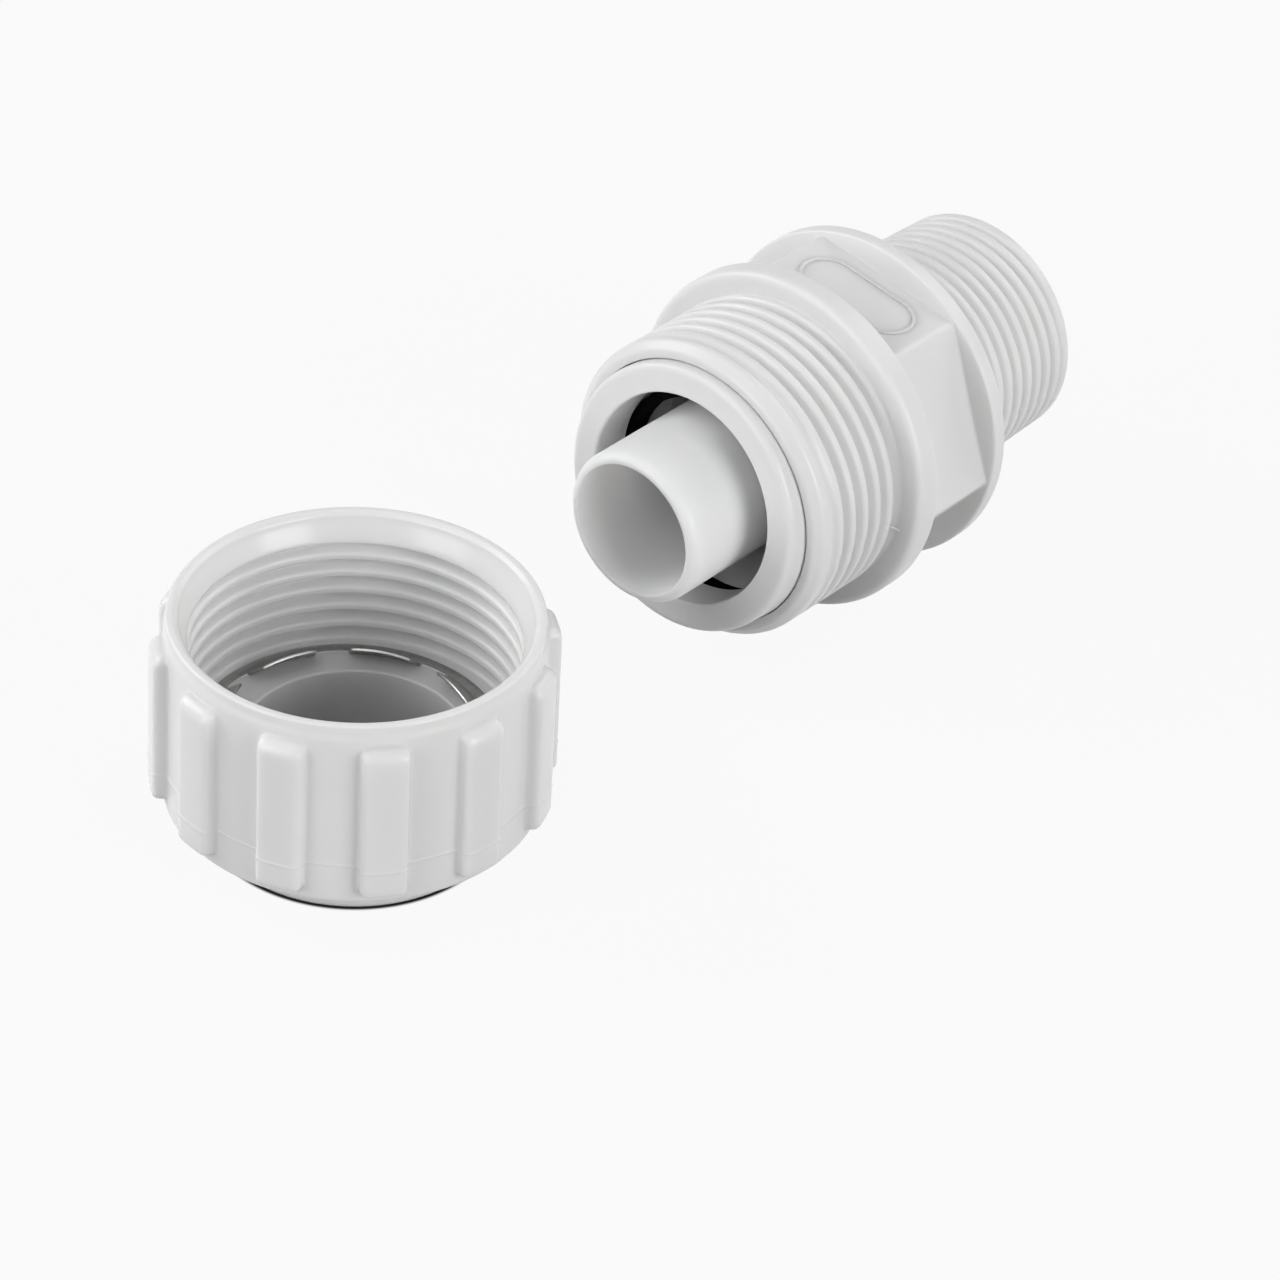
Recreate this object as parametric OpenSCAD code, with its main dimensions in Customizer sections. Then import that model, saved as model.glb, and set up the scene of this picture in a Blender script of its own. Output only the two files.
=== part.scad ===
// Compression adapter for plastic water pipe. A moulded body has a tapered pipe thread at one
// end and a straight thread at the other. In its mouth sit an insert that stiffens the pipe,
// a rubber gasket and a loose push ring. The nut is unscrewed: it stands on its foot before
// the body, mouth up, with a stainless grip ring on the shelf inside.
// X runs along the body from its mouth to the pipe thread, and Z is up from the floor.

/* [Pipe] */
// Outside diameter of the pipe that the fitting grips
pipe_d = 22.2; // [20:0.1:25]
// Wall thickness of that pipe
pipe_wall = 2.3; // [1.5:0.1:3]
// Radial play of the pipe in the body's socket
socket_play = 0.25; // [0.1:0.05:0.6]

/* [Body] */
// Length of the straight thread, from the mouth to the first flange
thread_len = 14; // [12:0.1:20]
// Distance between two turns of the straight thread
thread_pitch = 2.1; // [1.5:0.1:3]
// Depth of the straight thread
thread_depth = 1.25; // [0.8:0.05:1.6]
// Wall between the mouth's cavity and the root of the straight thread
lip_wall = 0.6; // [0.4:0.05:2]
// Bevel that leads into the straight thread
lead_in = 0.9; // [0.5:0.1:1.2]
// From the mouth to the first full groove of the straight thread
first_groove = 4.5; // [4:0.1:6]
// Thickness of the first flange, which carries the body on the floor
flange_t = 3.2; // [2:0.1:5]
// How far the first flange stands out beyond the hexagon's corners
flange_lip = 0.85; // [0.5:0.05:2]
// Length of the hexagon
hex_len = 10.45; // [8:0.05:16]
// Wall between the pipe socket and the hexagon's flats
hex_wall = 4.9; // [3:0.1:7]
// Angle of the hexagon round the axis, as the body lies
hex_turn = 39.4; // [0:0.1:59.9]
// Thickness of the second flange
rear_flange_t = 1.8; // [1:0.1:3]
// How far the second flange stands out beyond the hexagon's corners
rear_flange_lip = 0.4; // [0.2:0.05:0.5]
// Depth of the pipe socket, from the mouth to its shoulder
socket_depth = 20.9; // [17:0.1:25]
// Depth of the mouth's straight cavity, which takes the push ring
cavity_depth = 5.4; // [5:0.1:7]
// Radial room round the loose gasket in that cavity
cavity_play = 2.35; // [1.5:0.05:2.6]

/* [Pipe thread] */
// Outside diameter of the tapered thread at its small end
male_d = 26.2; // [24:0.1:30]
// Length of the tapered thread
male_len = 20.15; // [15:0.05:26]
// Distance between two turns of the tapered thread
male_pitch = 1.814; // [1.2:0.001:2.4]
// Depth of the tapered thread
male_depth = 1.25; // [0.8:0.05:1.5]
// Growth of the thread's diameter for each millimetre of its length
male_taper = 0.0625; // [0.03:0.0005:0.1]
// Bevel at the thread's small end
male_bevel = 0.8; // [0.5:0.1:1.2]
// From the second flange to the thread's first groove
male_first = 2.2; // [1.2:0.1:4]
// Diameter of the water passage through the pipe thread
bore_d = 18; // [15:0.1:20]

/* [Raised frame] */
// Length of the raised outline on the hexagon's top flat
frame_len = 14.7; // [10:0.1:16]
// Width of the raised outline
frame_w = 6.8; // [3:0.1:8]
// Width of its line
frame_line = 0.45; // [0.3:0.05:0.8]
// Height of its line
frame_h = 0.25; // [0.1:0.05:0.5]
// How far the outline lies behind the middle of the flat
frame_shift = -0.1; // [-1:0.1:1]

/* [Insert] */
// Wall thickness of the insert
insert_wall = 1.2; // [0.8:0.1:2]
// Radial play between the insert and the pipe's inside
insert_play = 0.1; // [0.05:0.05:0.4]
// How far the insert stands out of the body's mouth
insert_reach = 10.4; // [6:0.1:16]
// Thickness of the flange at the insert's inner end
insert_flange_t = 2; // [1:0.1:3]
// Radial play of that flange in the socket
insert_flange_play = 0.15; // [0.05:0.05:0.2]

/* [Gasket and push ring] */
// Radial thickness of the gasket
gasket_wall = 1.25; // [1:0.05:1.6]
// Length of the gasket along the pipe
gasket_len = 2.4; // [1.8:0.1:3]
// Radial play of the relaxed gasket round the pipe
gasket_play = 0.55; // [0.2:0.05:0.8]
// Length of the push ring
ring_len = 5; // [4.5:0.1:5.5]
// Room between the push ring and the gasket, on the axis
ring_gap = 0.5; // [0.5:0.05:1.5]
// Radial play of the pipe in the push ring
ring_bore_play = 0.7; // [0.3:0.05:0.9]
// Radial play of the push ring in the mouth
ring_play = 0.15; // [0.15:0.05:0.6]
// Rounding of the push ring's front edge
ring_round = 0.8; // [0.4:0.1:1.4]
// Angle at which the loose push ring leans in the mouth
ring_lean = 5; // [1:0.1:5.5]

/* [Nut] */
// Height of the nut
nut_h = 25.5; // [23:0.1:32]
// Height of the foot that the nut stands on
foot_h = 4; // [2:0.1:6]
// Wall of the foot round the pipe hole
foot_wall = 3.65; // [2.5:0.05:5]
// Height of the shelf inside, which carries the grip ring
shelf_h = 10.1; // [8:0.1:12]
// Radial play of the pipe in the nut's hole
nut_hole_play = 0.3; // [0.1:0.05:0.8]
// Radial play between the nut's thread and the body's
thread_play = 0.85; // [0.3:0.05:1]
// Wall between the nut's thread and its outside, at the foot end
nut_wall = 1.5; // [1.2:0.05:3]
// How far the nut's outside narrows from foot to mouth, on the radius
nut_draft = 0.2; // [0:0.05:0.4]
// Height of the plain rim above the ribs' upper ends
rim_h = 2.3; // [1.8:0.1:4]
// How far the rim's edge lies inside the wall
rim_step = 0.25; // [0.1:0.05:0.5]
// Depth of the smooth lead-in below the rim
nut_lead_in = 3.8; // [3:0.1:6]
// Number of grip ribs
rib_count = 12; // [6:1:20]
// Width of a rib
rib_w = 4.95; // [3:0.05:5.5]
// How far a rib stands out from the wall
rib_h = 1.4; // [0.8:0.1:2.5]
// Angle of the first rib, as the nut stands
rib_turn = 22.1; // [0:0.1:29.9]

/* [Grip ring] */
// Thickness of the steel
grip_t = 0.45; // [0.3:0.05:0.8]
// Radial play of the grip ring in the nut
grip_play = 0.7; // [0.3:0.05:1.2]
// Width of the flat band that lies on the shelf
grip_band = 1.3; // [0.8:0.1:1.6]
// Radial distance from the pipe to the tips of the teeth
grip_tip_play = 1.2; // [0.6:0.1:1.6]
// How far the teeth rise above the band
grip_rise = 2.2; // [1:0.1:2.6]
// Number of teeth
tooth_count = 8; // [6:1:10]
// Width of the slots between the teeth
slot_w = 3.6; // [2:0.1:4]
// Angle of the first tooth, as the nut stands
grip_turn = 28; // [0:0.1:44.9]
// Side of the nut to which the loose grip ring has slid
grip_slide = 128; // [0:1:359]

/* [Layout] */
// Free floor between the insert's end and the nut
nut_gap = 16.45; // [5:0.05:40]
// How far the nut stands to the side of the body's axis
nut_side = 4.17; // [-20:0.01:20]
// Gap left where one piece bears on another
seat_gap = 0.05; // [0.02:0.01:0.1]

/* [Hidden] */
$fn = 96;
past = 1;
edge = 0.3;

// Radii that build outwards from the pipe
pipe_r = pipe_d / 2;
socket_r = pipe_r + socket_play;
gasket_in_r = pipe_r + gasket_play;
gasket_out_r = gasket_in_r + gasket_wall;
mouth_r = gasket_out_r + cavity_play;
thread_root_r = mouth_r + lip_wall;
thread_r = thread_root_r + thread_depth;
hex_r = (socket_r + hex_wall) / cos(30);
flange_r = max(hex_r, thread_r) + flange_lip;
rear_flange_r = max(hex_r, thread_r) + rear_flange_lip;
bore_r = bore_d / 2;
insert_r = pipe_r - pipe_wall - insert_play;
insert_in_r = insert_r - insert_wall;
insert_flange_r = socket_r - insert_flange_play;

// Stations along the body, from its mouth
flange_x = thread_len;
hex_x = flange_x + flange_t;
rear_flange_x = hex_x + hex_len;
male_x = rear_flange_x + rear_flange_t;
body_len = male_x + male_len;

// Thread form: the share of a pitch that is flat at the crest and at the root
crest_share = 0.28;
root_share = 0.16;
run_in_depth = 0.3;

// Gasket, which has sunk to the bottom of the cavity, before the cone
gasket_back = cavity_depth - seat_gap;
gasket_front = gasket_back - gasket_len;
gasket_drop = cavity_play - seat_gap;

// Push ring, which leans about the mouth's centre and bears on the cavity at the bottom
ring_r = mouth_r - ring_play;
ring_in_r = pipe_r + ring_bore_play;
ring_back = gasket_front - ring_gap;
ring_front = ring_back - ring_len;
ring_bevel = max(edge, ring_back - (mouth_r - seat_gap - ring_r * cos(ring_lean)) / sin(ring_lean));

// Nut
nut_hole_r = pipe_r + nut_hole_play;
nut_root_r = thread_r + thread_play;
nut_crest_r = nut_root_r - thread_depth;
nut_r = nut_root_r + nut_wall;
nut_top_r = nut_r - nut_draft;
rib_r = nut_r + rib_h;
rib_top_z = nut_h - rim_h;
rim_foot_z = nut_h - 2 * rim_h / 3;
foot_r = nut_hole_r + foot_wall;
skirt_round = 0.8;
rib_round = 0.5;

// Grip ring
grip_r = nut_crest_r - grip_play;
grip_band_r = grip_r - grip_band;
grip_tip_r = pipe_r + grip_tip_play;

// The origin lies on the floor, midway between the outermost points
nut_x = -(insert_reach + nut_gap + rib_r);
mid_x = (nut_x - rib_r + body_len) / 2;
mid_y = (nut_side + rib_r - flange_r) / 2;

// Points of an arc from angle a to angle b about c
function arc(c, r, a, b, n = 5) =
    [for (i = [0 : n]) c + r * [cos(a + (b - a) * i / n), sin(a + (b - a) * i / n)]];

// How many grooves fit between the first and the last station
function groove_count(first, last, pitch) = floor((last - first) / pitch) + 1;

// The four corners of one groove across a thread whose crest has radius r
function groove(z, r, depth, pitch) =
    let (open = pitch * (1 - crest_share) / 2, root = pitch * root_share / 2)
    [[r, z - open], [r - depth, z - root], [r - depth, z + root], [r, z + open]];

// A row of equal grooves whose crests grow by taper for each unit of length
function grooves(first, last, pitch, depth, r, taper = 0) =
    [for (i = [0 : groove_count(first, last, pitch) - 1], z = [first + i * pitch])
        each groove(z, r + taper * (z - first), depth, pitch)];

// Lays the body's revolved pieces along X, with the flange on the floor
module on_axis() translate([-mid_x, -mid_y, flange_r]) rotate([0, 90, 0]) children();

// Stands the nut's pieces on the floor
module at_nut() translate([nut_x - mid_x, nut_side - mid_y, 0]) children();

// Straight thread, blank and grooves in one profile
module straight_thread() {
    half_open = thread_pitch * (1 - crest_share) / 2;
    rotate_extrude() polygon(concat(
        [[0, 0], [thread_r - lead_in, 0], [thread_r, lead_in]],
        groove(first_groove - thread_pitch, thread_r, run_in_depth, thread_pitch),
        grooves(first_groove, thread_len - half_open, thread_pitch, thread_depth, thread_r),
        [[thread_r, thread_len + past], [0, thread_len + past]]));
}

// Tapered pipe thread behind the second flange
module pipe_thread() {
    half_open = male_pitch * (1 - crest_share) / 2;
    end_r = male_d / 2;
    slope = male_taper / 2;
    last = male_len - male_bevel - half_open;
    base_r = end_r + slope * male_len;
    translate([0, 0, male_x]) rotate_extrude() polygon(concat(
        [[0, -past], [base_r, -past], [base_r, 0]],
        grooves(male_first, last, male_pitch, male_depth, base_r - slope * male_first, -slope),
        [[end_r, male_len - male_bevel], [end_r - male_bevel, male_len], [0, male_len]]));
}

// A round flange with softened edges
module flange(x, t, r) {
    translate([0, 0, x]) rotate_extrude() polygon(concat(
        [[0, 0]], arc([r - edge, edge], edge, -90, 0), arc([r - edge, t - edge], edge, 0, 90),
        [[0, t]]));
}

// An outline with round ends, drawn about its centre
module capsule(length, width) {
    square([width, length - width], center = true);
    for (side = [-1, 1]) translate([0, side * (length - width) / 2]) circle(width / 2);
}

// The bare raised frame on the hexagon's top flat
module raised_frame() {
    flat_r = hex_r * cos(30);
    rotate([0, 0, hex_turn - 30]) translate([-flat_r, 0, hex_x + hex_len / 2 + frame_shift])
        rotate([0, -90, 0]) translate([0, 0, -edge]) linear_extrude(edge + frame_h) difference() {
            capsule(frame_len, frame_w);
            capsule(frame_len - 2 * frame_line, frame_w - 2 * frame_line);
        }
}

// Everything inside the body: cavity, cone for the gasket, pipe socket and water passage
module body_hollow() {
    rotate_extrude() polygon([
        [0, -past], [mouth_r, -past], [mouth_r, cavity_depth],
        [socket_r, cavity_depth + mouth_r - socket_r], [socket_r, socket_depth],
        [bore_r, socket_depth], [bore_r, body_len - edge],
        [bore_r + edge + past, body_len + past], [0, body_len + past]]);
}

module adapter_body() {
    color("white") on_axis() difference() {
        union() {
            straight_thread();
            flange(flange_x, flange_t, flange_r);
            rotate([0, 0, hex_turn]) translate([0, 0, hex_x - edge])
                cylinder(h = hex_len + 2 * edge, r = hex_r, $fn = 6);
            flange(rear_flange_x, rear_flange_t, rear_flange_r);
            pipe_thread();
            raised_frame();
        }
        body_hollow();
    }
}

module insert_tube() {
    end_x = -insert_reach;
    base_x = socket_depth - seat_gap;
    tip_round = 0.6;
    color("white") on_axis() rotate_extrude() polygon(concat(
        [[insert_in_r, base_x], [insert_in_r, end_x + edge], [insert_in_r + edge, end_x]],
        arc([insert_r - tip_round, end_x + tip_round], tip_round, -90, 0),
        [[insert_r, base_x - insert_flange_t], [insert_flange_r, base_x - insert_flange_t],
            [insert_flange_r, base_x]]));
}

module gasket() {
    color("#262626") on_axis() translate([gasket_drop, 0, 0]) rotate_extrude() polygon(concat(
        arc([gasket_in_r + edge, gasket_front + edge], edge, 180, 270),
        arc([gasket_out_r - edge, gasket_front + edge], edge, -90, 0),
        arc([gasket_out_r - edge, gasket_back - edge], edge, 0, 90),
        arc([gasket_in_r + edge, gasket_back - edge], edge, 90, 180)));
}

module push_ring() {
    color("white") on_axis() rotate([0, ring_lean, 0]) rotate_extrude() polygon(concat(
        [[ring_in_r, ring_back - edge], [ring_in_r, ring_front + edge],
            [ring_in_r + edge, ring_front]],
        arc([ring_r - ring_round, ring_front + ring_round], ring_round, -90, 0),
        [[ring_r, ring_back - ring_bevel], [ring_r - ring_bevel, ring_back],
            [ring_in_r + edge, ring_back]]));
}

// The nut's wall and foot, with no thread inside yet
module nut_shell() {
    rotate_extrude() polygon(concat(
        [[0, 0], [foot_r - edge, 0], [foot_r, edge], [foot_r, foot_h]],
        arc([nut_r - skirt_round, foot_h + skirt_round], skirt_round, -90, 0),
        [[nut_top_r, rim_foot_z], [nut_top_r - rim_step, rim_foot_z + rim_step],
            [nut_top_r - rim_step, nut_h - edge], [nut_top_r - rim_step - edge, nut_h],
            [0, nut_h]]));
}

// Grip ribs: one rounded and drafted band, kept only where the ribs stand
module ribs() {
    low_z = foot_h + rib_h;
    top_r = rib_r - nut_draft - rib_h;
    intersection() {
        rotate_extrude() polygon(concat(
            [[nut_crest_r + thread_depth + edge, low_z]],
            arc([rib_r - rib_round, low_z + rib_round], rib_round, -90, 0),
            arc([top_r, rib_top_z - rib_h], rib_h, 0, 90),
            [[nut_crest_r + thread_depth + edge, rib_top_z]]));
        for (i = [0 : rib_count - 1]) rotate([0, 0, rib_turn + i * 360 / rib_count])
            translate([0, -rib_w / 2, 0]) cube([rib_r + past, rib_w, nut_h]);
    }
}

// Threaded cavity above the shelf, and the pipe hole below it
module nut_hollow() {
    half_open = thread_pitch * (1 - crest_share) / 2;
    top_groove = nut_h - nut_lead_in;
    span = top_groove - shelf_h - half_open;
    low_groove = top_groove - floor(span / thread_pitch) * thread_pitch;
    rim_in_r = nut_root_r - edge / 2;
    rotate_extrude() polygon(concat(
        [[0, shelf_h], [nut_crest_r, shelf_h]],
        grooves(low_groove, top_groove, thread_pitch, -thread_depth, nut_crest_r),
        [[rim_in_r, nut_h - edge], [rim_in_r + 1.5 * edge, nut_h],
            [rim_in_r + 1.5 * edge, nut_h + past], [0, nut_h + past]]));
    translate([0, 0, -past]) cylinder(h = shelf_h + 2 * past, r = nut_hole_r);
}

module compression_nut() {
    color("white") at_nut() difference() {
        union() {
            nut_shell();
            ribs();
        }
        nut_hollow();
    }
}

module grip_ring() {
    base = shelf_h + seat_gap;
    slope = grip_rise / (grip_band_r - grip_tip_r);
    inner_r = grip_tip_r - past;
    inner_z = base + grip_rise + slope * past;
    slide = (grip_play - seat_gap) * [cos(grip_slide), sin(grip_slide), 0];
    color("silver") at_nut() translate(slide) rotate([0, 0, grip_turn]) difference() {
        rotate_extrude() polygon([
            [grip_r, base], [grip_r, base + grip_t], [grip_band_r, base + grip_t],
            [inner_r, inner_z + grip_t], [inner_r, inner_z], [grip_band_r, base]]);
        translate([0, 0, base - past]) rotate([0, 0, 180 / tooth_count])
            cylinder(h = grip_rise + 3 * past, r = grip_tip_r / cos(180 / tooth_count),
                $fn = tooth_count);
        for (i = [0 : tooth_count - 1]) rotate([0, 0, (i + 0.5) * 360 / tooth_count])
            translate([0, -slot_w / 2, base - past])
                cube([grip_band_r, slot_w, grip_rise + 3 * past]);
    }
}

adapter_body();
insert_tube();
gasket();
push_ring();
compression_nut();
grip_ring();
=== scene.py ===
import math

import bpy
import numpy as np
from mathutils import Matrix, Vector


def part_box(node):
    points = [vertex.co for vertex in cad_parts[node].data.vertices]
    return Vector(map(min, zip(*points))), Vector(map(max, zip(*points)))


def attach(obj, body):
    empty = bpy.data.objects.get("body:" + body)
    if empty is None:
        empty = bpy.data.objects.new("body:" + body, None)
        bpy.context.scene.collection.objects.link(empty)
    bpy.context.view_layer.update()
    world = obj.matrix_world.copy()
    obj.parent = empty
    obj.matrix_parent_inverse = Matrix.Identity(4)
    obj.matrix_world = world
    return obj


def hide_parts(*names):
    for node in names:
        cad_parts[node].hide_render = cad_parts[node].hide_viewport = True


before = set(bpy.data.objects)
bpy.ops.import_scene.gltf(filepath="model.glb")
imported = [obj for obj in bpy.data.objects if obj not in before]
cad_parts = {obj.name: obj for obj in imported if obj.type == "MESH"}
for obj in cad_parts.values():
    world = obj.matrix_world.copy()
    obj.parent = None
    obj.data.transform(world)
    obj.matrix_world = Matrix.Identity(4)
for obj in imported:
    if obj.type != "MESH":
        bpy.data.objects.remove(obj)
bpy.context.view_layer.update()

# Every size below is in millimetres, and the frame is in metres
MM = 0.001
TURN = 2 * math.pi

# Roundings of edges
TINY = 0.1
CRISP = 0.15
FINE = 0.2
MILD = 0.25
SOFT = 0.3
BROAD = 0.35

# Points on a rounding, the largest share of a side that it takes, and the support beyond it
ROUND_STEPS = 5
ROUND_SHARE = 0.45
SUPPORT = 0.12
SUPPORT_SHARE = 0.04

# Points round each turned piece, and degrees to the closer ones beside a corner or line
BODY_POINTS = 220
INSERT_POINTS = 160
GASKET_POINTS = 144
RING_POINTS = 176
CLOSE_BY = (-2.4, -1.5, -0.9, -0.45, 0, 0.45, 0.9, 1.5, 2.4)
CLOSEST = math.radians(0.2)

# Body, from its mouth
THREAD_LEN = 14.0
FLANGE_T = 3.2
FLANGE_ROUND = 0.85
FLANGE_BACK_ROUND = 0.6
HEX_LEN = 10.45
REAR_FLANGE_T = 1.8
REAR_FLANGE_R = 19.164
HEX_APOTHEM = 16.25
HEX_CORNER = math.radians(110.6)
HEX_SHARPNESS = 70
BORE_R = 9.0
SOCKET_R = 11.35
SOCKET_DEPTH = 20.9
MOUTH_R = 15.25
CAVITY = 5.4

# Straight thread: faint for a turn, then full. Crest and root are flat shares of a turn
THREAD_R = 17.1
THREAD_DEPTH = 1.25
THREAD_PITCH = 2.1
THREAD_ZERO = 4.79
THREAD_CREST = 0.3
THREAD_ROOT = 0.14
THREAD_STEPS = 14
LEAD_IN = 0.9
FAINT_FROM = (1.0, 2.0)
FAINT_DEPTH = 0.22
FULL_FROM = (3.0, 4.0)
THREAD_SOFTNESS = 1.2

# Tapered pipe thread, which fades towards its small end
MALE_LEN = 20.15
MALE_END_R = 13.1
MALE_PITCH = 1.814
MALE_DEPTH = 1.0
MALE_SLOPE = 1 / 32
MALE_ZERO = 37.33
MALE_BEVEL = 0.3
MALE_CREST = 0.42
MALE_ROOT = 0.1
MALE_STEPS = 13
MALE_FADE = (2.0, 1.1)

# Parting line of the mould: a fine ridge in the middle of a flat, across both threads
PARTING = math.radians(-8)
RIDGE_H = 0.05
RIDGE_HALF = math.radians(0.5)
FLAT_DEPTH = 0.07
FLAT_HALF = math.radians(2)

# Raised outline on the hexagon's top flat
OUTLINE_LEN = 14.7
OUTLINE_W = 6.9
OUTLINE_LINE = 0.5
OUTLINE_H = 0.24
OUTLINE_SHIFT = -0.05

# Sliver of flash: place along the body, height above the crest and half its thickness
FLASH = [(12.5, -0.3, 0.10), (13.0, 0.12, 0.09), (13.5, 0.42, 0.07), (13.8, 0.62, 0.04)]
FLASH_W = 0.45
FLASH_BACK = 0.1
FLASH_NARROWING = 0.1
FLASH_LEAN = math.radians(0.9)

# Loose parts in the mouth
INSERT_R = 8.7
INSERT_IN_R = 7.5
INSERT_END_LEN = 1.3
INSERT_END_DROP = 1.0
INSERT_FLANGE_R = 11.2
INSERT_FLANGE_T = 2.0
GASKET_IN_R = 11.65
GASKET_OUT_R = 12.9
GASKET_LEN = 2.4
RING_IN_R = 11.85
RING_R = 15.1
RING_LEN = 5.0
RING_GAP = 0.5
RING_LEAN = math.radians(5)
RING_ROUND = 0.8
RING_BEVEL = 0.65
SEAT_GAP = 0.05

# Nut, from its foot
NUT_H = 25.5
FOOT_R = 15.05
FOOT_H = 4.0
SHELF_H = 10.1
NUT_HOLE_R = 11.4
NUT_R = 19.44
NUT_TOP_R = 19.25
NUT_ROOT_R = 17.95
NUT_EDGE_ROUND = 0.8
NUT_LEAD_IN = 3.8
LEAD_IN_STEP = 0.1
RIM_R = 19.0
RIM_H = 2.3
RIM_STEP = (0.7, 0.4)
RIM_BEVEL = 0.35
RIM_BEVEL_ROUND = 0.12
WITNESS_H = 8.8
WITNESS_LIFT = 0.08
WITNESS_HALF = 0.11

# Grip ribs, with the length of the arc at each end
RIB_COUNT = 12
RIB_W = 4.8
RIB_H = 1.4
RIB_TURN = math.radians(22.1)
RIB_CORNER = 0.95
RIB_FOOT_ARC = 0.7
RIB_TOP_ARC = 1.5
RIB_MID_R = NUT_R + RIB_H / 2

# Distances past a rib's edge, and the share of its height that is left there
RIB_SIDE = [(-0.8, 1), (-0.55, 0.975), (-0.32, 0.9), (-0.14, 0.77), (-0.03, 0.58), (0.05, 0.36),
            (0.14, 0.16), (0.3, 0.04), (0.55, 0), (1.2, 0), (2.2, 0)]

# Grip ring
GRIP_R = 16.0
GRIP_BAND_R = 14.7
GRIP_TIP_R = 12.3
GRIP_RISE = 2.2
GRIP_T = 0.32
GRIP_EDGE = 0.06
GRIP_TURN = math.radians(28)
TEETH = 8
SLOT_W = 3.6
TOOTH_POINTS = 8
TOOTH_ROWS = 5
SLOT_POINTS = 3

# Floor: how white it is to the camera, its own shade, and a painted contact shadow: a dark line painted on
# the floor just beyond the nut's foot, with its shade and the distances past the foot over which it fades
FLOOR_HALF = 3000
FLOOR_WHITE = 0.93
FLOOR_SHADE = 0.4
# Painted shadow: the floor's colour right beside the nut's foot, and how far past the foot it fades to the
# floor's own shade
PAINTED_SHADOW_SHADE = 0.03
PAINTED_SHADOW_REACH = (0.1, 0.55)

# Lamps: heading and height in degrees, and power in watts
LAMP_DISTANCE = 900
LAMP_SIZE = 500
LAMPS = {
    "front_right": (268, 20, 4.7),
    "front_left": (170, 20, 2.8),
    "left": (115, 30, 3.9),
    "left_high": (160, 50, 0.8),
    "rear_right": (345, 40, 2.1),
}
SURROUND_LIGHT = 0.15

# The camera looks at the floor point at the photograph's centre
CAMERA_TARGET = (6.28, 0.78, 0.0)
CAMERA_DISTANCE = 490.2
CAMERA_HEADING = math.radians(38.49)
CAMERA_ELEVATION = math.radians(35.49)
CAMERA_ROLL = math.radians(-3.9)
SENSOR_W = 36
FOCAL_PIXELS = 4500
FRAME_PIXELS = 1280


def body_place():
    """The body's mouth, its axis and the radius of its front flange, on which it lies."""
    low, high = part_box("adapter_body")
    return low[0] / MM, (low[1] + high[1]) / 2 / MM, (low[2] + high[2]) / 2 / MM, high[2] / 2 / MM


def middle(piece):
    """Where the middle of a piece of the frame stands, in millimetres."""
    low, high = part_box(piece)
    return (low[0] + high[0]) / 2 / MM, (low[1] + high[1]) / 2 / MM


MOUTH_X, AXIS_Y, AXIS_Z, FLANGE_R = body_place()
NUT_X, NUT_Y = middle("compression_nut")


def smooth(value, low, high):
    """0 below low, 1 above high, and an eased slope between them."""
    t = np.clip((value - low) / (high - low), 0, 1)
    return t * t * (3 - 2 * t)


def mesh_object(name, points, faces):
    """A smooth-shaded object from points in millimetres."""
    mesh = bpy.data.meshes.new(name)
    mesh.from_pydata([tuple(p) for p in np.asarray(points) * MM], [], faces)
    mesh.validate()
    mesh.polygons.foreach_set("use_smooth", [True] * len(mesh.polygons))
    mesh.update()
    obj = bpy.data.objects.new(name, mesh)
    bpy.context.scene.collection.objects.link(obj)
    return obj


def skin(rows, size, closed):
    """Faces between rows of points, where each row is a loop of the same size."""
    faces = []
    for row in range(rows if closed else rows - 1):
        here = row * size
        beyond = (row + 1) % rows * size
        for k in range(size):
            m = (k + 1) % size
            faces.append((here + k, here + m, beyond + m, beyond + k))
    return faces


def side_of(corner, neighbour, cut):
    """Direction to a neighbour, how much of that side a rounding takes, and its support."""
    reach = neighbour - corner
    length = np.maximum(np.linalg.norm(reach, axis=0), 1e-9)
    taken = np.minimum(cut, length * ROUND_SHARE)
    return reach / length, taken, np.minimum(SUPPORT, length * SUPPORT_SHARE)


def closed_outline(corners, size):
    """Turns corners (along, radius, cut) into rings of that size, each rounded by its cut.

    A radius is a number or one value for each angle. A ring close to each end of a rounding
    keeps flat faces flat under smooth shading."""
    points = [np.stack([np.full(size, float(along)), np.broadcast_to(radius, size)])
              for along, radius, _ in corners]
    rings = []
    for i, (here, (_, _, cut)) in enumerate(zip(points, corners)):
        if cut == 0:
            rings.append(here)
            continue
        back, back_cut, back_gap = side_of(here, points[i - 1], cut)
        ahead, ahead_cut, ahead_gap = side_of(here, points[(i + 1) % len(points)], cut)
        rings.append(here + back * (back_cut + back_gap))
        for t in np.linspace(0, 1, ROUND_STEPS + 1):
            rings.append(here + back * back_cut * (1 - t) ** 2 + ahead * ahead_cut * t ** 2)
        rings.append(here + ahead * (ahead_cut + ahead_gap))
    return rings


def revolved(name, corners, angles, place):
    """A closed surface from corners (along, radius, cut) and the angles of its points."""
    rings = closed_outline(corners, len(angles))
    points = np.concatenate([place(ring[0], ring[1], angles) for ring in rings])
    return mesh_object(name, points, skin(len(rings), len(angles), True))


def on_axis(along, radius, angles):
    """Points round the body's axis. Angle 0 faces -Y and a quarter turn faces up."""
    return np.stack([MOUTH_X + along, AXIS_Y - radius * np.cos(angles),
                     AXIS_Z + radius * np.sin(angles)], axis=1)


def on_nut(along, radius, angles):
    """Points round the nut's upright axis."""
    return np.stack([NUT_X + radius * np.cos(angles), NUT_Y + radius * np.sin(angles), along], axis=1)


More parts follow.
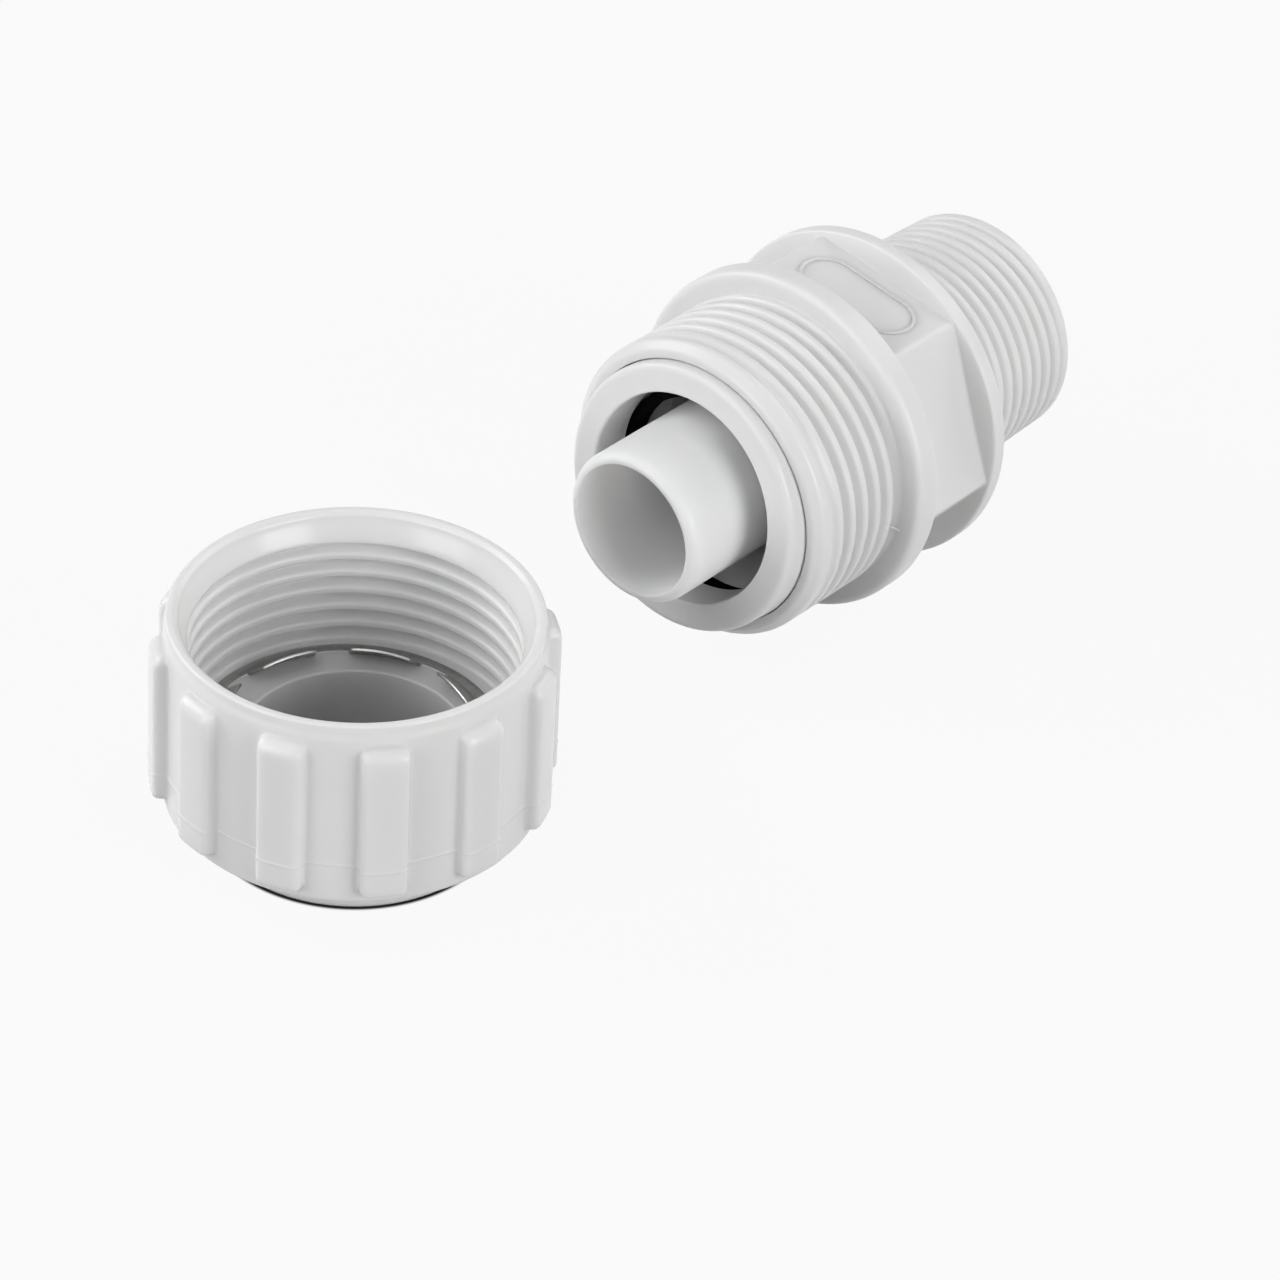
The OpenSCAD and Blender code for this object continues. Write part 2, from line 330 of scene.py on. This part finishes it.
def thread_share(phase, crest, root):
    """How deep a thread is cut, from 0 on the crest to 1 at the root. phase counts turns."""
    away = np.abs(phase - np.round(phase)) * 2
    t = (1 - crest - away) / (1 - crest - root)
    eased = np.tanh((2 * t - 1) * THREAD_SOFTNESS) / math.tanh(THREAD_SOFTNESS)
    return np.clip((1 + eased) / 2, 0, 1)


def even_angles(count, extra=()):
    """Evenly spread angles with closer ones round each of the extra angles."""
    values = list(np.arange(count) * TURN / count)
    for centre in extra:
        for offset in CLOSE_BY:
            values.append((centre + math.radians(offset)) % TURN)
    values = np.unique(np.round(values, 5))
    keep = [values[0]]
    for value in values[1:]:
        if value - keep[-1] > CLOSEST:
            keep.append(value)
    return np.array(keep)


def hexagon_radius(angles):
    """Radius of a hexagon with softly rounded corners."""
    total = 0
    for i in range(6):
        across = np.cos(angles - HEX_CORNER - (i + 0.5) * TURN / 6)
        total = total + np.clip(across, 0, 1) ** HEX_SHARPNESS
    return HEX_APOTHEM / total ** (1 / HEX_SHARPNESS)


def parting_line(angles):
    """How far the parting line lifts or lowers the threads at each angle."""
    off = np.abs((angles - PARTING + math.pi / 2) % math.pi - math.pi / 2)
    return RIDGE_H * np.exp(-(off / RIDGE_HALF) ** 2) - FLAT_DEPTH * np.exp(-(off / FLAT_HALF) ** 4)


def build_body():
    """The body: both threads, two flanges, hexagon and hollow, as one closed surface."""
    corners = [HEX_CORNER + i * TURN / 6 for i in range(6)]
    angles = even_angles(BODY_POINTS, corners + [PARTING, PARTING + math.pi])
    flange_x = THREAD_LEN
    hex_x = flange_x + FLANGE_T
    rear_x = hex_x + HEX_LEN
    male_x = rear_x + REAR_FLANGE_T
    end_x = male_x + MALE_LEN
    hexagon = hexagon_radius(angles)
    parting = parting_line(angles)

    def straight(x):
        full = smooth(x, *FAINT_FROM) * (FAINT_DEPTH + (1 - FAINT_DEPTH) * smooth(x, *FULL_FROM))
        phase = (x - THREAD_ZERO) / THREAD_PITCH + angles / TURN
        depth = THREAD_DEPTH * thread_share(phase, THREAD_CREST, THREAD_ROOT)
        return THREAD_R - depth * full + parting * full

    def tapered(x):
        crest = MALE_END_R + MALE_SLOPE * (end_x - x)
        fade = 1 - smooth(x, end_x - MALE_FADE[0], end_x - MALE_FADE[1])
        phase = (x - MALE_ZERO) / MALE_PITCH + angles / TURN
        depth = MALE_DEPTH * thread_share(phase, MALE_CREST, MALE_ROOT)
        return crest - depth * fade + parting * fade

    # The rings of a thread keep clear of the rounded corners at its ends
    outline = [(0, MOUTH_R, CRISP), (0, THREAD_R - LEAD_IN, SOFT), (LEAD_IN, THREAD_R, BROAD)]
    for x in np.arange(LEAD_IN + 0.5, flange_x - 0.3, THREAD_PITCH / THREAD_STEPS):
        outline.append((x, straight(x), 0))
    outline += [(flange_x, straight(flange_x), FINE), (flange_x, FLANGE_R, FLANGE_ROUND),
                (hex_x, FLANGE_R, FLANGE_BACK_ROUND), (hex_x, hexagon, SOFT),
                (rear_x, hexagon, SOFT), (rear_x, REAR_FLANGE_R, SOFT),
                (male_x, REAR_FLANGE_R, SOFT), (male_x, tapered(male_x), FINE)]
    for x in np.arange(male_x + 0.3, end_x - MALE_BEVEL - 0.2, MALE_PITCH / MALE_STEPS):
        outline.append((x, tapered(x), 0))
    outline += [(end_x - MALE_BEVEL, MALE_END_R, FINE), (end_x, MALE_END_R - MALE_BEVEL, CRISP),
                (end_x, BORE_R, SOFT), (SOCKET_DEPTH, BORE_R, FINE), (SOCKET_DEPTH, SOCKET_R, FINE),
                (CAVITY + MOUTH_R - SOCKET_R, SOCKET_R, SOFT), (CAVITY, MOUTH_R, FINE)]
    body = revolved("body_moulding", outline, angles, on_axis)
    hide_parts("adapter_body")
    return body


def build_raised_outline():
    """The bare raised outline on the hexagon's top flat, as a bead with a rounded section."""
    centre_x = THREAD_LEN + FLANGE_T + HEX_LEN / 2 + OUTLINE_SHIFT
    normal = HEX_CORNER - TURN / 12
    half = (OUTLINE_LEN - OUTLINE_W) / 2
    end_r = (OUTLINE_W - OUTLINE_LINE) / 2
    path = [(side * math.cos(a) * end_r, side * (half + math.sin(a) * end_r))
            for side in (1, -1) for a in np.linspace(0, math.pi, 17)]
    path = np.array(path)
    # Shares of the line's width and of its height
    section = [(-0.5, -0.3), (-0.42, 0.55), (-0.25, 0.92), (0, 1), (0.25, 0.92), (0.42, 0.55), (0.5, -0.3)]
    out = Vector((0, -math.cos(normal), math.sin(normal)))
    across = Vector((0, math.sin(normal), math.cos(normal)))
    origin = Vector((MOUTH_X + centre_x, AXIS_Y, AXIS_Z)) + out * HEX_APOTHEM
    points = []
    for k in range(len(path)):
        ahead = path[(k + 1) % len(path)] - path[k - 1]
        ahead = ahead / np.linalg.norm(ahead)
        aside = np.array([ahead[1], -ahead[0]])
        for side, lift in section:
            flat = path[k] + aside * side * OUTLINE_LINE
            points.append(origin + Vector((flat[0], 0, 0)) + across * flat[1] + out * lift * OUTLINE_H)
    return mesh_object("body_raised_frame", points, skin(len(path), len(section), True))


def build_flash():
    """The sliver of flash left on the last crest of the straight thread, at the parting line."""
    points = []
    for k, (x, height, half) in enumerate(FLASH):
        radius = np.array([THREAD_R + height])
        front = FLASH_W - FLASH_NARROWING * k
        for along, side in ((0, -1), (front, 0), (0, 1), (-FLASH_BACK, 0)):
            turn = np.array([PARTING - FLASH_LEAN * k + side * half / THREAD_R])
            points.append(on_axis(np.array([x + along]), radius, turn)[0])
    last = len(points) - 4
    ends = [(3, 2, 1, 0), (last, last + 1, last + 2, last + 3)]
    return mesh_object("body_flash", points, skin(len(FLASH), 4, False) + ends)


def build_insert():
    """The tube that stiffens the pipe, with its flange at the socket's shoulder."""
    low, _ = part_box("insert_tube")
    end = low[0] / MM - MOUTH_X
    base = SOCKET_DEPTH - SEAT_GAP
    outline = [(end, INSERT_IN_R, TINY)]
    for t in np.linspace(0, math.pi / 2, 9):
        outline.append((end + INSERT_END_LEN * (1 - math.cos(t)),
                        INSERT_R - INSERT_END_DROP * (1 - math.sin(t)), 0))
    outline += [(base - INSERT_FLANGE_T, INSERT_R, FINE), (base - INSERT_FLANGE_T, INSERT_FLANGE_R, FINE),
                (base, INSERT_FLANGE_R, FINE), (base, INSERT_IN_R, FINE)]
    tube = revolved("insert_tube_moulding", outline, even_angles(INSERT_POINTS), on_axis)
    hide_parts("insert_tube")
    return tube


def build_gasket():
    """The rubber ring behind the push ring, sunk to the bottom of the cavity."""
    drop = MOUTH_R - GASKET_OUT_R - SEAT_GAP
    back = CAVITY - SEAT_GAP
    front = back - GASKET_LEN

    def sunk(along, radius, angles):
        return on_axis(along, radius, angles) - np.array([0, 0, drop])

    outline = [(front, GASKET_IN_R, SOFT), (front, GASKET_OUT_R, SOFT),
               (back, GASKET_OUT_R, SOFT), (back, GASKET_IN_R, SOFT)]
    ring = revolved("gasket_rubber", outline, even_angles(GASKET_POINTS), sunk)
    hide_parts("gasket")
    return ring


def build_push_ring():
    """The loose ring, which leans about the centre of the body's mouth."""
    back = CAVITY - SEAT_GAP - GASKET_LEN - RING_GAP
    front = back - RING_LEN

    def leaning(along, radius, angles):
        up = radius * np.sin(angles)
        x = along * math.cos(RING_LEAN) + up * math.sin(RING_LEAN)
        z = up * math.cos(RING_LEAN) - along * math.sin(RING_LEAN)
        return np.stack([MOUTH_X + x, AXIS_Y - radius * np.cos(angles), AXIS_Z + z], axis=1)

    outline = [(front, RING_IN_R, SOFT), (front, RING_R, RING_ROUND), (back - RING_BEVEL, RING_R, TINY),
               (back, RING_R - RING_BEVEL, CRISP), (back, RING_IN_R, SOFT)]
    ring = revolved("push_ring_moulding", outline, even_angles(RING_POINTS), leaning)
    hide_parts("push_ring")
    return ring


def nut_columns():
    """Angles round the nut, and for each how far a rib stands out there, from 0 to 1."""
    right = [(0.7, 1), (1.3, 1)] + [(RIB_W / 2 + past, share) for past, share in RIB_SIDE]
    left = [(-side, share) for side, share in reversed(right)]
    angles = []
    shares = []
    for i in range(RIB_COUNT):
        for side, share in left + [(0, 1)] + right:
            angles.append(RIB_TURN + i * TURN / RIB_COUNT + side / RIB_MID_R)
            shares.append(share)
    return np.array(angles), np.array(shares)


def wall_heights(rib_low, rib_high):
    """Heights of the wall's rings, closer together at the ribs' ends and at the witness line."""
    low_arc = np.linspace(0, math.pi / 2, 7)
    high_arc = np.linspace(0, math.pi / 2, 12)
    return [*(rib_low + RIB_FOOT_ARC * (1 - np.cos(low_arc))),
            *np.linspace(rib_low + 1.2, WITNESS_H - 0.4, 3),
            *(WITNESS_H + np.array([-0.25, -0.12, -0.05, 0, 0.05, 0.12, 0.25])),
            *np.linspace(WITNESS_H + 0.6, rib_high - 2.2, 8),
            *(rib_high - RIB_TOP_ARC * (1 - np.sin(high_arc)))]


def build_nut():
    """The nut: foot, ribbed wall, rim and threaded cavity, as one closed surface."""
    angles, shares = nut_columns()
    rib_low = FOOT_H + RIB_H
    rib_high = NUT_H - RIM_H
    crest_r = NUT_ROOT_R - THREAD_DEPTH
    open_r = NUT_ROOT_R - LEAD_IN_STEP
    # The groove nearest the rim has this height on the far side, which the camera sees from inside
    top_groove = NUT_H - NUT_LEAD_IN
    thread_zero = top_groove - THREAD_PITCH * CAMERA_HEADING / TURN

    def wall(z):
        rise = (z - FOOT_H) / (NUT_H - FOOT_H)
        witness = WITNESS_LIFT * np.exp(-((z - WITNESS_H) / WITNESS_HALF) ** 2)
        return NUT_R + (NUT_TOP_R - NUT_R) * rise + witness

    def ribbed(z):
        below = np.clip((rib_low + RIB_FOOT_ARC - z) / RIB_FOOT_ARC, 0, 1)
        above = np.clip((z - rib_high + RIB_TOP_ARC) / RIB_TOP_ARC, 0, 1)
        lift = math.sqrt(1 - below ** 2) * math.sqrt(1 - above ** 2)
        return wall(z) + RIB_H * lift * shares

    def threaded(z):
        crest = crest_r + (open_r - crest_r) * smooth(z, top_groove + 0.3, NUT_H - 0.2)
        start = 1 - smooth(z, top_groove + 0.2, top_groove + 1.0)
        phase = (z - thread_zero) / THREAD_PITCH - angles / TURN
        return crest + (NUT_ROOT_R - crest) * thread_share(phase, THREAD_CREST, THREAD_ROOT) * start

    def rounded(along, radius, turns):
        """Pulls the ribs' edges together towards both ends, so that their corners are round."""
        apart = TURN / RIB_COUNT
        side = ((turns - RIB_TURN + apart / 2) % apart - apart / 2) * RIB_MID_R
        past = np.maximum(along - rib_high, rib_low - along)
        near = np.clip(past / RIB_CORNER + 1, 0, 1)
        pull = RIB_CORNER * (1 - np.sqrt(1 - near ** 2))
        half = RIB_W / 2
        hold = smooth(np.abs(side), 0, half - 0.7) * (1 - smooth(np.abs(side), half + 0.4, half + 2.2))
        outside = (radius > NUT_TOP_R - 0.1) & (along > FOOT_H + 0.5) & (along < rib_high + 0.3)
        return on_nut(along, radius, turns - np.sign(side) * pull * hold * outside / RIB_MID_R)

    outline = [(0, NUT_HOLE_R, SOFT), (0, FOOT_R, BROAD), (FOOT_H, FOOT_R, FINE),
               (FOOT_H, NUT_R, NUT_EDGE_ROUND)]
    for z in wall_heights(rib_low, rib_high):
        outline.append((z, ribbed(z), 0))
    outline += [(NUT_H - RIM_STEP[0] * RIM_H, NUT_TOP_R, MILD), (NUT_H - RIM_STEP[1] * RIM_H, RIM_R, MILD),
                (NUT_H, RIM_R, SOFT), (NUT_H, NUT_ROOT_R + RIM_BEVEL, RIM_BEVEL_ROUND),
                (NUT_H - RIM_BEVEL, open_r, CRISP)]
    for z in np.arange(NUT_H - 2 * RIM_BEVEL, SHELF_H + 0.15, -THREAD_PITCH / THREAD_STEPS):
        outline.append((z, threaded(z), 0))
    outline += [(SHELF_H, crest_r, TINY), (SHELF_H, NUT_HOLE_R, MILD)]
    nut = revolved("nut_moulding", outline, angles, rounded)
    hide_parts("compression_nut")
    return nut


def add_tooth(points, faces, root, centre, reach, base):
    """Adds one tooth: rows of points from the band's edge to a straight tip, rising inwards."""
    tip_half = GRIP_TIP_R * math.tan(math.pi / TEETH) - SLOT_W / 2 / math.cos(math.pi / TEETH)
    slope = GRIP_RISE / (GRIP_BAND_R - GRIP_TIP_R)
    previous = root
    for row in range(1, TOOTH_ROWS + 1):
        along = row / TOOTH_ROWS
        current = []
        for share in np.linspace(-1, 1, TOOTH_POINTS):
            start = math.cos(share * reach) * GRIP_BAND_R
            start_side = math.sin(share * reach) * GRIP_BAND_R
            forward = start + (GRIP_TIP_R - start) * along
            side = start_side + (tip_half * share - start_side) * along
            lift = slope * max(0, GRIP_BAND_R - math.hypot(forward, side))
            current.append(len(points))
            points.append((forward * math.cos(centre) - side * math.sin(centre),
                           forward * math.sin(centre) + side * math.cos(centre), base + lift))
        for k in range(TOOTH_POINTS - 1):
            faces.append((previous[k], previous[k + 1], current[k + 1], current[k]))
        previous = current


def build_grip_ring():
    """The dished steel ring: a flat band and straight-tipped teeth that rise inwards."""
    base = SHELF_H + SEAT_GAP
    slot_reach = math.asin(SLOT_W / 2 / GRIP_BAND_R)
    tooth_reach = math.pi / TEETH - slot_reach
    slot_shares = np.arange(1, SLOT_POINTS + 1) / (SLOT_POINTS + 1)
    centres = [GRIP_TURN + i * TURN / TEETH for i in range(TEETH)]
    angles = []
    for centre in centres:
        angles += list(centre + np.linspace(-tooth_reach, tooth_reach, TOOTH_POINTS))
        angles += list(centre + tooth_reach + 2 * slot_reach * slot_shares)
    radii = [GRIP_R, (GRIP_R + GRIP_BAND_R) / 2, GRIP_BAND_R]
    points = [(radius * math.cos(a), radius * math.sin(a), base) for radius in radii for a in angles]
    faces = skin(len(radii), len(angles), False)
    inner = (len(radii) - 1) * len(angles)
    for i, centre in enumerate(centres):
        first = inner + i * (TOOTH_POINTS + SLOT_POINTS)
        add_tooth(points, faces, range(first, first + TOOTH_POINTS), centre, tooth_reach, base)
    placed = np.array(points) + np.array([*middle("grip_ring"), 0])
    ring = mesh_object("grip_ring_steel", placed, [tuple(reversed(face)) for face in faces])
    solid = ring.modifiers.new("Solidify", "SOLIDIFY")
    solid.thickness = GRIP_T * MM
    solid.offset = 1
    bevel = ring.modifiers.new("Bevel", "BEVEL")
    bevel.width = GRIP_EDGE * MM
    bevel.segments = 2
    bevel.limit_method = "ANGLE"
    apply_modifiers(ring)
    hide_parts("grip_ring")
    return ring


def apply_modifiers(obj):
    """Bakes an object's modifiers into its mesh."""
    depsgraph = bpy.context.evaluated_depsgraph_get()
    mesh = bpy.data.meshes.new_from_object(obj.evaluated_get(depsgraph))
    obj.modifiers.clear()
    obj.data = mesh


def grey(shade):
    """A neutral colour."""
    return shade, shade, shade


def new_material(name):
    """A material with its nodes, links and main shader."""
    material = bpy.data.materials.new(name)
    material.use_nodes = True
    tree = material.node_tree
    return material, tree.nodes, tree.links, tree.nodes["Principled BSDF"]


def noise(nodes, links, scale, detail, roughness):
    """Noise in object coordinates, with scale in bumps per metre."""
    where = nodes.new("ShaderNodeTexCoord")
    texture = nodes.new("ShaderNodeTexNoise")
    texture.inputs["Scale"].default_value = scale
    texture.inputs["Detail"].default_value = detail
    texture.inputs["Roughness"].default_value = roughness
    links.new(where.outputs["Object"], texture.inputs["Vector"])
    return texture.outputs["Fac"]


def ramp(nodes, links, factor, low, high, ends=(0.3, 0.7)):
    """A colour that goes from low to high while the factor goes from one end to the other."""
    node = nodes.new("ShaderNodeValToRGB")
    for element, position, colour in zip(node.color_ramp.elements, ends, (low, high)):
        element.position = position
        element.color = (*colour, 1)
    links.new(factor, node.inputs["Fac"])
    return node.outputs["Color"]


def bump(nodes, links, shader, height, strength, distance):
    """Fine relief from a height value."""
    node = nodes.new("ShaderNodeBump")
    node.inputs["Strength"].default_value = strength
    node.inputs["Distance"].default_value = distance * MM
    links.new(height, node.inputs["Height"])
    links.new(node.outputs["Normal"], shader.inputs["Normal"])


def plastic(name, shade, gloss, glow, depth):
    """Moulded white plastic: faint cloudiness, uneven gloss and a slightly rippled skin."""
    material, nodes, links, shader = new_material(name)
    cloud = noise(nodes, links, scale=70, detail=3, roughness=0.5)
    links.new(ramp(nodes, links, cloud, grey(shade - 0.01), grey(shade)), shader.inputs["Base Color"])
    polish = noise(nodes, links, scale=260, detail=2, roughness=0.5)
    low, high = gloss
    links.new(ramp(nodes, links, polish, grey(low), grey(high)), shader.inputs["Roughness"])
    ripple = noise(nodes, links, scale=180, detail=1, roughness=0.4)
    bump(nodes, links, shader, ripple, strength=0.15, distance=0.04)
    shader.inputs["IOR"].default_value = 1.48
    shader.inputs["Specular IOR Level"].default_value = 0.35
    shader.inputs["Subsurface Weight"].default_value = glow
    shader.inputs["Subsurface Radius"].default_value = (1, 0.95, 0.9)
    shader.inputs["Subsurface Scale"].default_value = depth * MM
    return material


def rubber():
    """Matt black gasket rubber."""
    material, nodes, links, shader = new_material("gasket_rubber")
    grain = noise(nodes, links, scale=900, detail=6, roughness=0.7)
    links.new(ramp(nodes, links, grain, grey(0.001), grey(0.002)), shader.inputs["Base Color"])
    bump(nodes, links, shader, grain, strength=0.25, distance=0.03)
    shader.inputs["Roughness"].default_value = 0.8
    shader.inputs["Specular IOR Level"].default_value = 0.06
    return material


def steel():
    """Rolled stainless strip, with a fine uneven grain."""
    material, nodes, links, shader = new_material("grip_ring_stainless")
    shader.inputs["Metallic"].default_value = 1
    grain = noise(nodes, links, scale=1400, detail=6, roughness=0.7)
    links.new(ramp(nodes, links, grain, grey(0.34), (0.44, 0.44, 0.43)), shader.inputs["Base Color"])
    links.new(ramp(nodes, links, grain, grey(0.29), grey(0.35)), shader.inputs["Roughness"])
    return material


def dress(obj, material):
    """Gives a piece its material and its slot, and lets it ride on the part."""
    obj.data.materials.clear()
    obj.data.materials.append(material)
    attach(obj, "root")


def combine(nodes, links, operation, first, second):
    """The result of a Math node over a value and a second value or a number."""
    node = nodes.new("ShaderNodeMath")
    node.operation = operation
    links.new(first, node.inputs[0])
    if isinstance(second, float):
        node.inputs[1].default_value = second
    else:
        links.new(second, node.inputs[1])
    return node.outputs[0]


def seen_white(nodes, links):
    """1 for rays that look at the surroundings, straight or through the object's surfaces,
    and 0 for rays that gather light."""
    rays = nodes.new("ShaderNodeLightPath").outputs
    mirrored = combine(nodes, links, "MAXIMUM", rays["Is Camera Ray"], rays["Is Glossy Ray"])
    return combine(nodes, links, "MAXIMUM", mirrored, rays["Is Transmission Ray"])


def mixed_surface(nodes, links, share, first, second, output):
    """Sends a mix of two shaders to the output node."""
    mix = nodes.new("ShaderNodeMixShader")
    links.new(share, mix.inputs["Fac"])
    links.new(first.outputs[0], mix.inputs[1])
    links.new(second.outputs[0], mix.inputs[2])
    links.new(mix.outputs[0], nodes[output].inputs["Surface"])


def build_floor():
    """A floor that looks white and keeps a soft shadow, with a painted shadow: a dark line painted round
    the nut's foot.
    """
    half = FLOOR_HALF
    floor = mesh_object("floor", [(-half, -half, 0), (half, -half, 0), (half, half, 0), (-half, half, 0)],
                        [(0, 1, 2, 3)])
    material, nodes, links, shader = new_material("floor_white")
    where = nodes.new("ShaderNodeTexCoord")
    away = nodes.new("ShaderNodeVectorMath")
    away.operation = "DISTANCE"
    away.inputs[1].default_value = (NUT_X * MM, NUT_Y * MM, 0)
    links.new(where.outputs["Object"], away.inputs[0])
    # Painted shadow: in a thin ring just beyond the nut's foot, the floor's colour is painted nearly
    # black, then fades to its own pale shade
    clear = nodes.new("ShaderNodeMapRange")
    clear.interpolation_type = "SMOOTHSTEP"
    clear.inputs["From Min"].default_value = (FOOT_R + PAINTED_SHADOW_REACH[0]) * MM
    clear.inputs["From Max"].default_value = (FOOT_R + PAINTED_SHADOW_REACH[1]) * MM
    links.new(away.outputs["Value"], clear.inputs["Value"])
    shade = ramp(nodes, links, clear.outputs["Result"], grey(PAINTED_SHADOW_SHADE), grey(FLOOR_SHADE), (0, 1))
    links.new(shade, shader.inputs["Base Color"])
    shader.inputs["Roughness"].default_value = 0.9
    shader.inputs["Specular IOR Level"].default_value = 0
    # The painted shadow also takes the floor's white away in that ring, so the dark line shows to the
    # camera
    seen = combine(nodes, links, "MULTIPLY", seen_white(nodes, links), FLOOR_WHITE)
    share = combine(nodes, links, "MULTIPLY", seen, clear.outputs["Result"])
    white = nodes.new("ShaderNodeEmission")
    mixed_surface(nodes, links, share, shader, white, "Material Output")
    floor.data.materials.append(material)


def build_world():
    """A surround that looks full white, and is softer as light."""
    world = bpy.data.worlds.new("studio")
    bpy.context.scene.world = world
    world.use_nodes = True
    nodes, links = world.node_tree.nodes, world.node_tree.links
    light = nodes["Background"]
    light.inputs["Color"].default_value = (1, 1, 1, 1)
    light.inputs["Strength"].default_value = SURROUND_LIGHT
    white = nodes.new("ShaderNodeBackground")
    white.inputs["Color"].default_value = (1, 1, 1, 1)
    mixed_surface(nodes, links, seen_white(nodes, links), light, white, "World Output")


def softbox(name, heading, elevation, power):
    """A square lamp that faces the object from a heading and a height in degrees."""
    data = bpy.data.lights.new(name, "AREA")
    data.shape = "SQUARE"
    data.size = LAMP_SIZE * MM
    data.energy = power
    lamp = bpy.data.objects.new(name, data)
    a, e = math.radians(heading), math.radians(elevation)
    toward = Vector((math.cos(e) * math.cos(a), math.cos(e) * math.sin(a), math.sin(e)))
    lamp.location = toward * LAMP_DISTANCE * MM
    lamp.rotation_euler = (-toward).to_track_quat("-Z", "Y").to_euler()
    bpy.context.scene.collection.objects.link(lamp)


def build_camera():
    """The camera at the photograph's place, heading and roll."""
    data = bpy.data.cameras.new("camera")
    data.sensor_width = SENSOR_W
    data.lens = SENSOR_W * FOCAL_PIXELS / FRAME_PIXELS
    data.clip_start = 0.01
    data.clip_end = 20
    camera = bpy.data.objects.new("camera", data)
    e, h = CAMERA_ELEVATION, CAMERA_HEADING
    forward = Vector((math.cos(e) * math.cos(h), math.cos(e) * math.sin(h), -math.sin(e)))
    right = Vector((math.sin(h), -math.cos(h), 0))
    up = right.cross(forward)
    turned_right = right * math.cos(CAMERA_ROLL) - up * math.sin(CAMERA_ROLL)
    turned_up = right * math.sin(CAMERA_ROLL) + up * math.cos(CAMERA_ROLL)
    place = Vector(CAMERA_TARGET) * MM - forward * CAMERA_DISTANCE * MM
    rows = Matrix((turned_right, turned_up, -forward)).transposed().to_4x4()
    camera.matrix_world = Matrix.Translation(place) @ rows
    bpy.context.scene.collection.objects.link(camera)
    bpy.context.scene.camera = camera


def main():
    """Builds and dresses every piece, then the floor, the lamps and the camera."""
    body_plastic = plastic("body_pvc", shade=0.78, gloss=(0.29, 0.33), glow=0.6, depth=1.8)
    nut_plastic = plastic("nut_pvc", shade=0.78, gloss=(0.2, 0.25), glow=0.6, depth=1.8)
    insert_plastic = plastic("insert_plastic", shade=0.88, gloss=(0.38, 0.44), glow=0.9, depth=3)
    ring_plastic = plastic("push_ring_plastic", shade=0.79, gloss=(0.3, 0.35), glow=0.3, depth=1.2)
    dress(build_body(), body_plastic)
    dress(build_raised_outline(), body_plastic)
    dress(build_flash(), body_plastic)
    dress(build_nut(), nut_plastic)
    dress(build_insert(), insert_plastic)
    dress(build_push_ring(), ring_plastic)
    dress(build_gasket(), rubber())
    dress(build_grip_ring(), steel())
    build_floor()
    build_world()
    for name, (heading, elevation, power) in LAMPS.items():
        softbox(name, heading, elevation, power)
    build_camera()
    bpy.context.scene.view_settings.view_transform = "Standard"


main()
